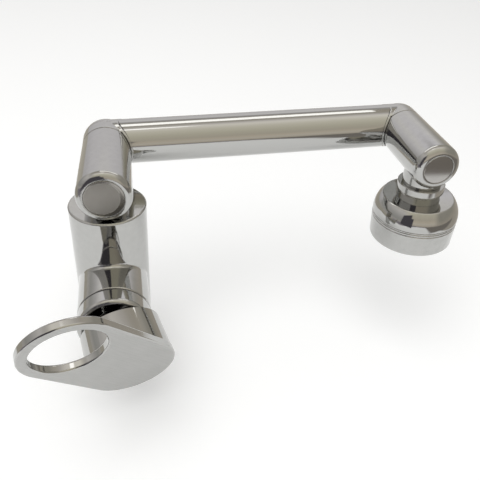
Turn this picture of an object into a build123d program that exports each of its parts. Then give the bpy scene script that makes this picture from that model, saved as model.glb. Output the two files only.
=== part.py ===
from build123d import *
from math import cos, radians, sin, sqrt
import os

# Single-lever mixer with a folding spout: a round column with a branch that carries the
# cartridge and the lever, an arm between two horizontal swivel joints, and a spray head.
# Origin: deck face, on the column's axis. +Z is up, -Y points to the user, +X to the right.

# Clearances
RUN = 0.05            # radial play of a shaft in its bush
END_GAP = 0.1         # play along a turning joint's axis
SLIP = 0.3            # play of loose covers and rings
DISC_PLAY = 0.15      # play of the stem's ball in the disc carrier
SOCKET_PLAY = 0.05    # play of the stem in the lever's square socket

# Column and branch casting
COLUMN_R = 25.0
COLUMN_H = 130.0
COLUMN_RIM = 0.8
FOOT_GAP = 0.3
BRANCH_R = 23.2
BRANCH_DROP = 56.0
BRANCH_L = 46.0
CREASE_R = 2.4

# Foot: recess, gasket, hose inlets and fixing stud
RECESS_R = 20.0
RECESS_DEPTH = 5.0
GASKET_R = 23.5
GASKET_W = 2.4
GASKET_H = 2.5
INLET_X = 8.5
INLET_R = 4.5
INLET_THREAD = 14.0
INLET_WAY_R = 3.6
STUD_Y = 13.0
STUD_R = 4.0
STUD_GRIP = 15.0
STUD_DROP = 45.0
DECK_T = 30.0
CLAMP_R = 20.5
CLAMP_T = 2.5
CLAMP_PAD_T = 2.0
CLAMP_SLOT = 28.0
CLAMP_BRIDGE = 7.0
STUD_NUT_FLATS = 13.0
STUD_NUT_H = 6.5

# Cartridge (35 mm class), measured from the branch's face
SEAT_DEPTH = 31.0
CARTRIDGE_R = 17.5
CARTRIDGE_BASE_T = 5.0
PORT_DROP = 4.0
PORT_R = 3.0
OUT_PORT_RISE = 8.0
OUT_PORT_R = 3.8
SEAL_W = 1.4
SEAL_T = 1.2
PEG_R = 1.5
PEG_L = 2.5
PEG_X = 13.5
PEG_RISE = 3.0
FIXED_DISC_R = 13.6
DISC_T = 4.0
MOVING_DISC_R = 9.8
MIX_POCKET_R = 6.8
MIX_POCKET_T = 2.0
CARRIER_R = 10.4
CARRIER_T = 6.0
CARRIER_FLOOR = 1.0
HOUSING_WALL = 1.9
HOUSING_TOP = 2.5
HOUSING_L = 20.0
HOUSING_NECK_R = 13.0
HOUSING_NECK_L = 6.0
TURRET_R = 10.4
TURRET_FLANGE_T = 3.0
TURRET_REACH = 4.0
TURRET_SLOT = 16.4
PIN_R = 2.0
NUT_THREAD_R = 20.0
NUT_HEAD_R = 21.2
NUT_HEAD_T = 4.2
NUT_KEY_R = 16.5
NUT_KEY_T = 3.0
SEAM_T = 0.8
SEAM_R = 22.5

# Cartridge cover
COVER_R = 23.1
COVER_L = 11.7
COVER_FRONT_T = 3.5
COVER_BORE_R = 18.6
COVER_MOUTH_R = 15.0
COVER_ROUND = 2.5

# Lever: a flat plate with a finger ring, on a round hood over the cover
PIVOT_SINK = 4.0
LEVER_TURN = 37.9
LEVER_TILT = 21.2
PLATE_FRONT = 42.5
PLATE_T = 5.5
PLATE_R = 27.0
RING_OFFSET = 55.3
RING_HOLE_R = 21.0
PLATE_ROUND = 1.2
HOOD_RIM = 14.6
HOOD_RIM_R = 25.2
HOOD_TOP_R = 26.6
HOOD_WALL = 1.6
BOSS_R = 9.0
BOSS_START = 24.0
STEM_W = 7.0
STEM_TOP = 34.0
STEM_SHOULDER = 6.0
STEM_NECK_R = 2.4
STEM_TAIL = 9.5
STEM_BALL_R = 3.0
GRUB_R = 2.5
GRUB_L = 7.0
GRUB_D = 29.0

# Swivel socket on top of the column
SOCKET_DEPTH = 44.0
WATERWAY_R = 7.0
PIVOT_R = 11.0
PIVOT_WALL = 3.0
PIVOT_TAIL_GAP = 2.0
BUSH_WALL = 1.45
BUSH_DEPTH = 21.0
BUSH_FLANGE_R = 13.0
BUSH_FLANGE_T = 0.8
RETAIN_DROP = 27.0
RETAIN_W = 6.0
RETAIN_DEPTH = 1.6
SET_SCREW_R = 3.0
SET_SCREW_TIP_R = 2.0
SET_SCREW_SINK = 1.0
O_RING = 1.7
O_RING_PITCH = 5.0

# Spout: horizontal swivel joints, elbows and arm
AXIS_RISE = 18.4
SPOUT_SWING = 1.7
LEFT_BARREL_R = 16.2
LEFT_NOSE_R = 17.2
LEFT_ROUND = 4.3
RIGHT_BARREL_R = 15.8
RIGHT_NOSE_R = 15.8
RIGHT_ROUND = 5.3
ELBOW_BACK = 50.1
LEFT_NOSE = 24.9
RIGHT_NOSE = 17.6
HEAD_FORWARD = 52.7
NECK_R = 13.3
ARM_L = 214.3
ARM_R = 15.4
ARM_WALL = 2.0
ARM_LIFT = 2.85
ELBOW_END = 9.8
LIP_W = 1.6
LIP_RISE = 0.2
LIP_GROOVE = 0.5
SPIGOT_L = 34.0
SPIGOT_PLAY = 0.05
SPINDLE_R = 10.0
SPINDLE_ROOT_R = 9.0
SPINDLE_BORE_R = 5.0
SPINDLE_END_R = 7.0
SPINDLE_END_L = 10.0
JOURNAL_L = 21.4
JOINT_BUSH_WALL = 1.95
JOINT_FLANGE_IN = 0.5
JOINT_FLANGE_T = 0.7
RIB_T = 4.0
CHAMBER_R = 10.4
SPRING_WASHER_T = 1.2
SPRING_WASHER_R = 9.8
SPINDLE_NUT_FLATS = 17.0
SPINDLE_NUT_T = 5.8
LEFT_CAP_R = 12.5
RIGHT_CAP_R = 10.1
CAP_T = 4.0
CAP_EDGE = 0.4
CAP_POCKET_R = 8.0
CAP_POCKET_T = 2.0

# Spray head, measured down from the right joint's axis
NECK_END = 18.5
NECK_THREAD_TOP = 11.5
NIPPLE_THREAD_R = 9.5
NIPPLE_R = 9.0
NIPPLE_BORE_R = 6.5
NIPPLE_FLANGE_R = 11.6
NIPPLE_FLANGE_T = 2.6
COLLAR_R = 16.1
COLLAR_L = 6.4
COLLAR_ROUND = 2.0
COLLAR_FLOOR = 0.3
COLLAR_CAVITY_R = 12.0
COLLAR_SPIGOT_R = 14.5
COLLAR_SPIGOT_L = 8.0
HEAD_WASHER_T = 1.5
BELL_TOP = 29.5
BELL_DISH = 0.9
BELL_RIM_IN = 5.2
BELL_RIM_ROUND = 0.9
BELL_MID_IN = 2.3
BELL_MID = 33.5
BELL_R = 29.8
BELL_BOTTOM = 43.0
BELL_WALL = 2.0
RING_GAP = 0.3
RING_BOTTOM = 62.5
RING_TAPER = 0.6
RING_WALL = 2.5
RING_GROOVES = (44.5, 46.3)
RING_GROOVE_W = 0.5
RING_EDGE = 1.0
RING_RIB_R = 24.0
RING_RIB_TOP = 48.0
RING_RIB_T = 2.0
CORE_R = 16.0
CORE_SHOULDER = 33.2
CORE_FLOOR_T = 2.0
CORE_WALL = 3.0
SPRAY_TOP = 58.8
SPRAY_T = 2.7
NOZZLE_R = 0.9
INNER_NOZZLES_R = 14.5
INNER_NOZZLE_COUNT = 12
OUTER_NOZZLES_R = 20.5
OUTER_NOZZLE_COUNT = 18
AERATOR_R = 10.0
AERATOR_TOP = 54.0
AERATOR_WALL = 1.8
AERATOR_SILL = 0.6
AERATOR_GRID_T = 2.0
AERATOR_GRID_R = 1.7
DIVERTER_T = 1.8

# Directions and planes
FORWARD = Vector(0, -1, 0)
UP = Vector(0, 0, 1)
swing = radians(SPOUT_SWING)
lift = radians(ARM_LIFT)
turn = radians(LEVER_TURN)
tilt = radians(LEVER_TILT)
joint_dir = Vector(-sin(swing), -cos(swing), 0)
side_dir = Vector(cos(swing), -sin(swing), 0)
arm_dir = side_dir * cos(lift) + UP * sin(lift)
head_dir = side_dir * sin(lift) - UP * cos(lift)
ring_dir = Vector(-sin(turn), 0, cos(turn))
plate_dir = ring_dir * cos(tilt) + FORWARD * sin(tilt)
stem_dir = FORWARD * cos(tilt) - ring_dir * sin(tilt)

branch_z = COLUMN_H - BRANCH_DROP
seat_u = BRANCH_L - SEAT_DEPTH
pivot_u = BRANCH_L - PIVOT_SINK
turret_end_u = BRANCH_L + TURRET_REACH
socket_bottom_z = COLUMN_H - SOCKET_DEPTH
joint_z = COLUMN_H + AXIS_RISE
left_elbow_at = UP * joint_z - joint_dir * ELBOW_BACK
right_elbow_at = left_elbow_at + arm_dir * ARM_L

branch_plane = Plane(origin=(0, 0, branch_z), x_dir=(1, 0, 0), z_dir=FORWARD)
turret_plane = Plane(origin=(0, 0, branch_z), x_dir=ring_dir, z_dir=FORWARD)
lever_plane = Plane(origin=(0, -pivot_u, branch_z), x_dir=plate_dir, z_dir=stem_dir)
pin_plane = Plane(origin=(0, -pivot_u, branch_z), x_dir=FORWARD, z_dir=turret_plane.y_dir)
left_plane = Plane(origin=left_elbow_at, x_dir=side_dir, z_dir=joint_dir)
left_bore_plane = Plane(origin=left_elbow_at, x_dir=arm_dir, z_dir=joint_dir)
right_plane = Plane(origin=right_elbow_at, x_dir=arm_dir, z_dir=joint_dir)
right_bore_plane = Plane(origin=right_elbow_at, x_dir=arm_dir * -1, z_dir=joint_dir)
arm_plane = Plane(origin=left_elbow_at, x_dir=joint_dir, z_dir=arm_dir)
arm_back_plane = Plane(origin=right_elbow_at, x_dir=joint_dir, z_dir=arm_dir * -1)
head_plane = Plane(origin=right_elbow_at + joint_dir * HEAD_FORWARD, x_dir=arm_dir, z_dir=head_dir)
FROM_START = (Align.CENTER, Align.CENTER, Align.MIN)


def through_axis(plane):
    """Plane through an axis: local x is the radius, local y runs along the axis."""
    return Plane(origin=plane.origin, x_dir=plane.x_dir, z_dir=plane.x_dir.cross(plane.z_dir))


def rod(plane, start, end, radius, mode=Mode.ADD):
    """Cylinder along the plane's normal, between two stations."""
    with Locations(plane.offset(start)):
        Cylinder(radius, end - start, align=FROM_START, mode=mode)


def bore(plane, start, end, radius):
    """Round hole along the plane's normal, between two stations."""
    rod(plane, start, end, radius, Mode.SUBTRACT)


def turned(plane, outline):
    """Piece turned about the plane's normal from an outline of (radius, station) points."""
    with BuildPart() as piece:
        with BuildSketch(through_axis(plane)):
            with BuildLine():
                Polyline(*outline, close=True)
            make_face()
        revolve(axis=Axis(plane.origin, plane.z_dir))
    return piece


def ring(plane, start, end, outer, inner):
    """Plain ring between two stations."""
    return turned(plane, [(inner, start), (outer, start), (outer, end), (inner, end)])


def ring_pair(plane, starts, width, outer, inner):
    """Alike rings at several stations."""
    with BuildPart() as piece:
        for start in starts:
            rod(plane, start, start + width, outer)
            bore(plane, start, start + width, inner)
    return piece


# Column with its branch. A round casting whose flat top carries the spout's swivel socket.
# The branch holds the cartridge on a flat seat, and the foot is recessed for the hoses.
cartridge_bore_r = CARTRIDGE_R + RUN * 2
nut_start = seat_u + CARTRIDGE_BASE_T + HOUSING_L
bush_r = PIVOT_R + RUN + BUSH_WALL
set_screw_z = COLUMN_H - RETAIN_DROP
port_z = branch_z - PORT_DROP
outlet_z = branch_z + OUT_PORT_RISE
ports = [(-INLET_X, -PORT_DROP), (INLET_X, -PORT_DROP)]
pegs = [(-PEG_X, PEG_RISE), (PEG_X, PEG_RISE)]
foot_plane = Plane.XY.offset(FOOT_GAP)
recess_z = FOOT_GAP + RECESS_DEPTH
rear_plane = Plane(origin=(0, 0, set_screw_z), x_dir=(1, 0, 0), z_dir=(0, 1, 0))

with BuildPart() as body:
    with BuildSketch(foot_plane):
        Circle(COLUMN_R)
    extrude(amount=COLUMN_H - FOOT_GAP)
    with BuildSketch(branch_plane):
        Circle(BRANCH_R)
    extrude(amount=BRANCH_L)
    crease = body.edges().filter_by(GeomType.BSPLINE).sort_by(Axis.Y)[0]
    fillet(crease, CREASE_R)
    chamfer(body.edges().group_by(Axis.Z)[-1], COLUMN_RIM)
    chamfer(body.edges().filter_by(GeomType.CIRCLE).sort_by(Axis.Y)[0], COLUMN_RIM / 2)
    # Cartridge pocket and nut thread
    bore(branch_plane, seat_u, BRANCH_L, cartridge_bore_r)
    bore(branch_plane, nut_start - 1, BRANCH_L, NUT_THREAD_R)
    # Inlets rise beside the axis and the mixed water leaves through the middle
    with BuildSketch(branch_plane):
        with Locations(*ports):
            Circle(INLET_WAY_R)
        with Locations((0, OUT_PORT_RISE)):
            Circle(OUT_PORT_R + RUN)
    extrude(amount=seat_u, mode=Mode.SUBTRACT)
    with BuildSketch(branch_plane.offset(seat_u - PEG_L)):
        with Locations(*pegs):
            Circle(PEG_R + RUN)
    extrude(amount=PEG_L, mode=Mode.SUBTRACT)
    bore(Plane.XY, outlet_z, socket_bottom_z, WATERWAY_R)
    # Swivel socket: liner bush above, sealing bore below
    bore(Plane.XY, socket_bottom_z, COLUMN_H, PIVOT_R + RUN)
    bore(Plane.XY, COLUMN_H - BUSH_DEPTH, COLUMN_H, bush_r)
    bore(rear_plane, PIVOT_R - RETAIN_DEPTH, COLUMN_R, SET_SCREW_R)
    # Foot
    bore(foot_plane, 0, RECESS_DEPTH, RECESS_R)
    bore(foot_plane, 0, GASKET_H - FOOT_GAP, GASKET_R)
    rod(foot_plane, 0, GASKET_H - FOOT_GAP, GASKET_R - GASKET_W)
    bore(foot_plane, 0, RECESS_DEPTH, RECESS_R)
    with Locations((-INLET_X, 0, recess_z), (INLET_X, 0, recess_z)):
        Cylinder(INLET_R, INLET_THREAD, align=FROM_START, mode=Mode.SUBTRACT)
        Cylinder(INLET_WAY_R, port_z - recess_z, align=FROM_START, mode=Mode.SUBTRACT)
    with Locations((0, STUD_Y, recess_z)):
        Cylinder(STUD_R, STUD_GRIP, align=FROM_START, mode=Mode.SUBTRACT)
body.part.label = "body"

# Rubber gasket in the foot's groove, on the deck.
base_gasket = ring(Plane.XY, 0, GASKET_H, GASKET_R, GASKET_R - GASKET_W)
base_gasket.part.label = "base_gasket"

# Fixing set under the deck: stud, horseshoe pad and plate, nut.
stud_plane = Plane(origin=(0, STUD_Y, 0))
with BuildPart() as fixing_stud:
    rod(stud_plane, -STUD_DROP, recess_z + STUD_GRIP, STUD_R)
    chamfer(fixing_stud.edges().filter_by(GeomType.CIRCLE), STUD_R / 8)
fixing_stud.part.label = "fixing_stud"


def horseshoe(top, thickness):
    """Horseshoe washer, open towards the user for the two hoses."""
    with BuildPart() as piece:
        with BuildSketch(Plane.XY.offset(top - thickness)):
            Circle(CLAMP_R)
            with Locations((0, STUD_Y - CLAMP_BRIDGE - CLAMP_R)):
                Rectangle(CLAMP_SLOT, 2 * CLAMP_R, mode=Mode.SUBTRACT)
            with Locations((0, STUD_Y)):
                Circle(STUD_R + RUN, mode=Mode.SUBTRACT)
        extrude(amount=thickness)
    return piece


clamp_gasket = horseshoe(-DECK_T, CLAMP_PAD_T)
clamp_gasket.part.label = "clamp_gasket"
clamp_plate = horseshoe(-DECK_T - CLAMP_PAD_T, CLAMP_T)
clamp_plate.part.label = "clamp_plate"
with BuildPart() as fixing_nut:
    with BuildSketch(stud_plane.offset(-DECK_T - CLAMP_PAD_T - CLAMP_T)):
        RegularPolygon(STUD_NUT_FLATS / 2, 6, major_radius=False)
        Circle(STUD_R, mode=Mode.SUBTRACT)
    extrude(amount=-STUD_NUT_H)
fixing_nut.part.label = "fixing_nut"

# Cartridge base: plastic disc with two inlets, an outlet, seals and two locating pegs.
base_plane = branch_plane.offset(seat_u)
with BuildPart() as cartridge_base:
    with BuildSketch(base_plane):
        Circle(CARTRIDGE_R)
        with Locations(*ports):
            Circle(PORT_R, mode=Mode.SUBTRACT)
        with Locations((0, OUT_PORT_RISE)):
            Circle(OUT_PORT_R, mode=Mode.SUBTRACT)
    extrude(amount=CARTRIDGE_BASE_T)
    with BuildSketch(base_plane):
        with Locations(*ports):
            Circle(PORT_R + SEAL_W)
        with Locations((0, OUT_PORT_RISE)):
            Circle(OUT_PORT_R + SEAL_W)
    extrude(amount=SEAL_T, mode=Mode.SUBTRACT)
    with BuildSketch(base_plane):
        with Locations(*pegs):
            Circle(PEG_R)
    extrude(amount=-PEG_L)
cartridge_base.part.label = "cartridge_base"

with BuildPart() as inlet_seals:
    with BuildSketch(base_plane):
        with Locations(*ports):
            Circle(PORT_R + SEAL_W)
            Circle(PORT_R, mode=Mode.SUBTRACT)
    extrude(amount=SEAL_T)
inlet_seals.part.label = "inlet_seals"
with BuildPart() as outlet_seal:
    with BuildSketch(base_plane):
        with Locations((0, OUT_PORT_RISE)):
            Circle(OUT_PORT_R + SEAL_W)
            Circle(OUT_PORT_R, mode=Mode.SUBTRACT)
    extrude(amount=SEAL_T)
outlet_seal.part.label = "outlet_seal"

# Ceramic discs: the fixed one has the three ports, the moving one a mixing pocket.
fixed_disc_u = seat_u + CARTRIDGE_BASE_T
moving_disc_u = fixed_disc_u + DISC_T
carrier_u = moving_disc_u + DISC_T
carrier_top_u = carrier_u + CARRIER_T
carrier_shift = STEM_TAIL * sin(tilt)
with BuildPart() as fixed_disc:
    with BuildSketch(branch_plane.offset(fixed_disc_u)):
        Circle(FIXED_DISC_R)
        with Locations(*ports):
            Circle(PORT_R, mode=Mode.SUBTRACT)
        with Locations((0, OUT_PORT_RISE)):
            Circle(OUT_PORT_R, mode=Mode.SUBTRACT)
    extrude(amount=DISC_T)
fixed_disc.part.label = "fixed_disc"
slider_plane = Plane(
    origin=turret_plane.origin + ring_dir * carrier_shift, x_dir=ring_dir, z_dir=FORWARD
)
with BuildPart() as moving_disc:
    rod(slider_plane, moving_disc_u, carrier_u, MOVING_DISC_R)
    bore(slider_plane, moving_disc_u, moving_disc_u + MIX_POCKET_T, MIX_POCKET_R)
moving_disc.part.label = "moving_disc"

# Disc carrier: drives the moving disc, with a pocket for the ball at the stem's tail.
with BuildPart() as disc_carrier:
    rod(slider_plane, carrier_u, carrier_top_u, CARRIER_R)
    with BuildSketch(slider_plane.offset(carrier_u + CARRIER_FLOOR)):
        Rectangle(2 * (STEM_BALL_R + DISC_PLAY), 2 * (STEM_BALL_R + SLIP))
    extrude(amount=CARRIER_T - CARRIER_FLOOR, mode=Mode.SUBTRACT)
disc_carrier.part.label = "disc_carrier"

# Cartridge housing: cup with a neck in which the turret turns.
housing_u = seat_u + CARTRIDGE_BASE_T
housing_roof_u = housing_u + HOUSING_L - HOUSING_TOP
neck_top_u = housing_u + HOUSING_L + HOUSING_NECK_L
cartridge_housing = turned(
    branch_plane,
    [
        (CARTRIDGE_R - HOUSING_WALL, housing_u),
        (CARTRIDGE_R, housing_u),
        (CARTRIDGE_R, nut_start),
        (HOUSING_NECK_R, nut_start),
        (HOUSING_NECK_R, neck_top_u),
        (TURRET_R + RUN, neck_top_u),
        (TURRET_R + RUN, housing_roof_u),
        (CARTRIDGE_R - HOUSING_WALL, housing_roof_u),
    ],
)
cartridge_housing.part.label = "cartridge_housing"

# Turret: turns in the housing's neck and carries the stem on a cross pin.
turret_flange_u = housing_roof_u - END_GAP - TURRET_FLANGE_T
with BuildPart() as cartridge_turret:
    rod(turret_plane, turret_flange_u, turret_flange_u + TURRET_FLANGE_T, CARTRIDGE_R - HOUSING_WALL - SLIP)
    rod(turret_plane, turret_flange_u, turret_end_u, TURRET_R)
    with BuildSketch(turret_plane.offset(turret_flange_u)):
        Rectangle(TURRET_SLOT, STEM_W + 2 * DISC_PLAY)
    extrude(amount=turret_end_u - turret_flange_u, mode=Mode.SUBTRACT)
    bore(pin_plane, -TURRET_R, TURRET_R, PIN_R)
cartridge_turret.part.label = "cartridge_turret"
pin_reach = sqrt(TURRET_R**2 - PIN_R**2) - RUN
with BuildPart() as stem_pin:
    rod(pin_plane, -pin_reach, pin_reach, PIN_R)
stem_pin.part.label = "stem_pin"

# Cartridge nut: brass ring that holds the housing's shoulder, with a hexagon for the key.
nut_head_u = BRANCH_L + SEAM_T
with BuildPart() as cartridge_nut:
    rod(branch_plane, nut_start, nut_head_u, NUT_THREAD_R)
    rod(branch_plane, nut_head_u, nut_head_u + NUT_HEAD_T, NUT_HEAD_R)
    bore(branch_plane, nut_start, nut_head_u + NUT_HEAD_T, HOUSING_NECK_R + SLIP)
    with BuildSketch(branch_plane.offset(nut_head_u + NUT_HEAD_T)):
        RegularPolygon(NUT_KEY_R, 6)
    extrude(amount=-NUT_KEY_T, mode=Mode.SUBTRACT)
cartridge_nut.part.label = "cartridge_nut"

# Dark seal between the branch and the cover.
seam_ring = ring(branch_plane, BRANCH_L, nut_head_u, SEAM_R, NUT_THREAD_R)
seam_ring.part.label = "seam_ring"

# Cartridge cover: polished cap screwed on the nut's head, its front edge rounded so that the
# lever's hood swings clear of it.
cover_front_u = nut_head_u + COVER_L
with BuildPart() as cover_collar:
    rod(branch_plane, nut_head_u, cover_front_u, COVER_R)
    fillet(cover_collar.edges().filter_by(GeomType.CIRCLE).sort_by(Axis.Y)[0], COVER_ROUND)
    chamfer(cover_collar.edges().filter_by(GeomType.CIRCLE).sort_by(Axis.Y)[-1], COLUMN_RIM / 2)
    bore(branch_plane, nut_head_u, nut_head_u + NUT_HEAD_T, NUT_HEAD_R)
    bore(branch_plane, nut_head_u, cover_front_u - COVER_FRONT_T, COVER_BORE_R)
    bore(branch_plane, nut_head_u, cover_front_u, COVER_MOUTH_R)
cover_collar.part.label = "cover_collar"

# Lever. The front plate is a flat stadium with a round finger hole in its outer end, and a
# hood behind it covers the cartridge cover. A square socket in the boss takes the stem.
plate_back = PLATE_FRONT - PLATE_T
plate_centre = lever_plane.offset(plate_back)
grub_plane = Plane(
    origin=lever_plane.origin + stem_dir * GRUB_D, x_dir=stem_dir, z_dir=plate_dir * -1
)
hood_side_r = HOOD_RIM_R + (HOOD_TOP_R - HOOD_RIM_R) * (GRUB_D - HOOD_RIM) / (plate_back - HOOD_RIM)
with BuildPart() as lever:
    with BuildSketch(plate_centre):
        with Locations((RING_OFFSET / 2, 0)):
            SlotCenterToCenter(RING_OFFSET, 2 * PLATE_R)
        with Locations((RING_OFFSET, 0)):
            Circle(RING_HOLE_R, mode=Mode.SUBTRACT)
    extrude(amount=PLATE_T)
    fillet(lever.edges(), PLATE_ROUND)
    with BuildSketch(through_axis(lever_plane)):
        with BuildLine():
            Polyline(
                (HOOD_RIM_R, HOOD_RIM),
                (HOOD_TOP_R, plate_back + PLATE_ROUND),
                (0, plate_back + PLATE_ROUND),
                (0, plate_back),
                (HOOD_TOP_R - HOOD_WALL, plate_back),
                (HOOD_RIM_R - HOOD_WALL, HOOD_RIM),
                close=True,
            )
        make_face()
    revolve(axis=Axis(lever_plane.origin, lever_plane.z_dir))
    rod(lever_plane, BOSS_START, plate_back + PLATE_ROUND, BOSS_R)
    with BuildSketch(lever_plane.offset(BOSS_START)):
        Rectangle(STEM_W + 2 * SOCKET_PLAY, STEM_W + 2 * SOCKET_PLAY)
    extrude(amount=STEM_TOP - BOSS_START, mode=Mode.SUBTRACT)
    bore(grub_plane, 0, HOOD_TOP_R + 1, GRUB_R)
lever.part.label = "lever"

# Stem: square bar through the turret, pivoted on the pin, with a ball at its tail.
with BuildPart() as stem:
    with BuildSketch(lever_plane.offset(-STEM_SHOULDER)):
        Rectangle(STEM_W, STEM_W)
    extrude(amount=STEM_SHOULDER + STEM_TOP)
    rod(lever_plane, -STEM_TAIL, -STEM_SHOULDER, STEM_NECK_R)
    with Locations(lever_plane.offset(-STEM_TAIL)):
        Sphere(STEM_BALL_R)
    bore(pin_plane, -STEM_W, STEM_W, PIN_R + RUN)
stem.part.label = "stem"

# Grub screw that holds the lever on the stem, and the plug over its hole.
grub_start = STEM_W / 2
with BuildPart() as grub_screw:
    rod(grub_plane, grub_start, grub_start + GRUB_L, GRUB_R)
    with BuildSketch(grub_plane.offset(grub_start + GRUB_L)):
        RegularPolygon(GRUB_R * 0.6, 6)
    extrude(amount=-GRUB_L / 3, mode=Mode.SUBTRACT)
grub_screw.part.label = "grub_screw"
with BuildPart() as screw_plug:
    rod(grub_plane, hood_side_r - 2 * HOOD_WALL, hood_side_r - SLIP, GRUB_R)
screw_plug.part.label = "screw_plug"

# Spout swivel on the column: plastic liner bush, brass pivot tube with seals, and the set
# screw whose tip runs in the tube's groove.
bush_bottom_z = COLUMN_H - BUSH_DEPTH
neck_bottom_z = COLUMN_H + BUSH_FLANGE_T + END_GAP
spout_bush = turned(
    Plane.XY,
    [
        (PIVOT_R + RUN, bush_bottom_z),
        (bush_r, bush_bottom_z),
        (bush_r, COLUMN_H),
        (BUSH_FLANGE_R, COLUMN_H),
        (BUSH_FLANGE_R, COLUMN_H + BUSH_FLANGE_T),
        (PIVOT_R + RUN, COLUMN_H + BUSH_FLANGE_T),
    ],
)
spout_bush.part.label = "spout_bush"

pivot_bottom_z = socket_bottom_z + PIVOT_TAIL_GAP
pivot_top_z = joint_z - NECK_THREAD_TOP
pivot_seals = [pivot_bottom_z + O_RING, pivot_bottom_z + O_RING + O_RING_PITCH]
with BuildPart() as pivot_tube:
    rod(Plane.XY, pivot_bottom_z, pivot_top_z, PIVOT_R)
    for z in pivot_seals:
        bore(Plane.XY, z, z + O_RING, PIVOT_R)
        rod(Plane.XY, z, z + O_RING, PIVOT_R - O_RING)
    bore(Plane.XY, set_screw_z - RETAIN_W / 2, set_screw_z + RETAIN_W / 2, PIVOT_R)
    rod(Plane.XY, set_screw_z - RETAIN_W / 2, set_screw_z + RETAIN_W / 2, PIVOT_R - RETAIN_DEPTH)
    bore(Plane.XY, pivot_bottom_z, pivot_top_z, PIVOT_R - PIVOT_WALL)
pivot_tube.part.label = "pivot_tube"
spout_o_rings = ring_pair(Plane.XY, pivot_seals, O_RING, PIVOT_R, PIVOT_R - O_RING)
spout_o_rings.part.label = "spout_o_rings"

with BuildPart() as spout_set_screw:
    rod(rear_plane, PIVOT_R + SLIP, COLUMN_R - SET_SCREW_SINK, SET_SCREW_R)
    rod(rear_plane, PIVOT_R - RETAIN_DEPTH + SLIP, PIVOT_R + SLIP, SET_SCREW_TIP_R)
    with BuildSketch(rear_plane.offset(COLUMN_R - SET_SCREW_SINK)):
        RegularPolygon(SET_SCREW_R * 0.55, 6)
    extrude(amount=-SET_SCREW_R, mode=Mode.SUBTRACT)
spout_set_screw.part.label = "spout_set_screw"

# Horizontal swivel joints. Each has a barrel with a rounded nose and a flat cap, and an elbow
# whose spindle turns in the barrel's bush and is held by a washer and a nut.
barrel_start = ELBOW_END + END_GAP + JOINT_FLANGE_T
rib_start = barrel_start + JOURNAL_L
rib_end = rib_start + RIB_T
joint_bush_r = SPINDLE_R + RUN + JOINT_BUSH_WALL
left_nose = ELBOW_BACK + LEFT_NOSE
right_nose = HEAD_FORWARD + RIGHT_NOSE
washer_end = rib_end + SPRING_WASHER_T
nut_end = washer_end + SPINDLE_NUT_T
seal_starts = [barrel_start + O_RING_PITCH, rib_start - O_RING_PITCH - O_RING]


def knuckle(plane, root_r, nose_r, nose, rounding, cap_r, neck_at, neck_end, thread_r):
    """Barrel along a joint's axis, with a neck square to it on its underside."""
    neck_plane = Plane(
        origin=plane.origin + plane.z_dir * neck_at, x_dir=plane.x_dir, z_dir=plane.y_dir * -1
    )
    with BuildPart() as piece:
        with BuildSketch(through_axis(plane)):
            with BuildLine():
                Polyline((0, barrel_start), (root_r, barrel_start), (nose_r, nose), (0, nose), close=True)
            make_face()
        revolve(axis=Axis(plane.origin, plane.z_dir))
        fillet(piece.faces().sort_by(Axis(plane.origin, plane.z_dir))[-1].edges(), rounding)
        rod(neck_plane, 0, neck_end, NECK_R)
        bore(plane, barrel_start, rib_start, joint_bush_r)
        bore(plane, rib_start, rib_end, SPINDLE_END_R + RUN)
        bore(plane, rib_end, nose - CAP_T, CHAMBER_R)
        bore(plane, nose - CAP_T, nose, cap_r)
        bore(neck_plane, 0, NECK_THREAD_TOP, WATERWAY_R)
        bore(neck_plane, NECK_THREAD_TOP, neck_end, thread_r)
    return piece


def joint_bush(plane, flange_r):
    """Plastic liner of a barrel, whose flange shows as the dark seam beside the elbow."""
    return turned(
        plane,
        [
            (SPINDLE_R + RUN, barrel_start - JOINT_FLANGE_T),
            (flange_r, barrel_start - JOINT_FLANGE_T),
            (flange_r, barrel_start),
            (joint_bush_r, barrel_start),
            (joint_bush_r, rib_start),
            (SPINDLE_R + RUN, rib_start),
        ],
    )


def spindle(plane):
    """Hollow brass spindle, screwed into the elbow, with two seal grooves."""
    with BuildPart() as piece:
        rod(plane, 0, ELBOW_END, SPINDLE_ROOT_R)
        rod(plane, ELBOW_END, rib_start - END_GAP, SPINDLE_R)
        rod(plane, rib_start - END_GAP, rib_end + SPINDLE_END_L, SPINDLE_END_R)
        for start in seal_starts:
            bore(plane, start, start + O_RING, SPINDLE_R)
            rod(plane, start, start + O_RING, SPINDLE_R - O_RING)
        bore(plane, 0, rib_end + SPINDLE_END_L, SPINDLE_BORE_R)
    return piece


def spindle_nut(plane):
    """Hexagon nut on the spindle's end."""
    with BuildPart() as piece:
        with BuildSketch(plane.offset(washer_end)):
            RegularPolygon(SPINDLE_NUT_FLATS / 2, 6, major_radius=False)
            Circle(SPINDLE_END_R, mode=Mode.SUBTRACT)
        extrude(amount=SPINDLE_NUT_T)
    return piece


def nose_cap(plane, nose, cap_r):
    """Flat cap, flush with the barrel's nose and hollow behind."""
    with BuildPart() as piece:
        rod(plane, nose - CAP_T, nose, cap_r)
        chamfer(piece.edges().sort_by(Axis(plane.origin, plane.z_dir))[-1], CAP_EDGE)
        bore(plane, nose - CAP_T, nose - CAP_T + CAP_POCKET_T, CAP_POCKET_R)
    return piece


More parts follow.
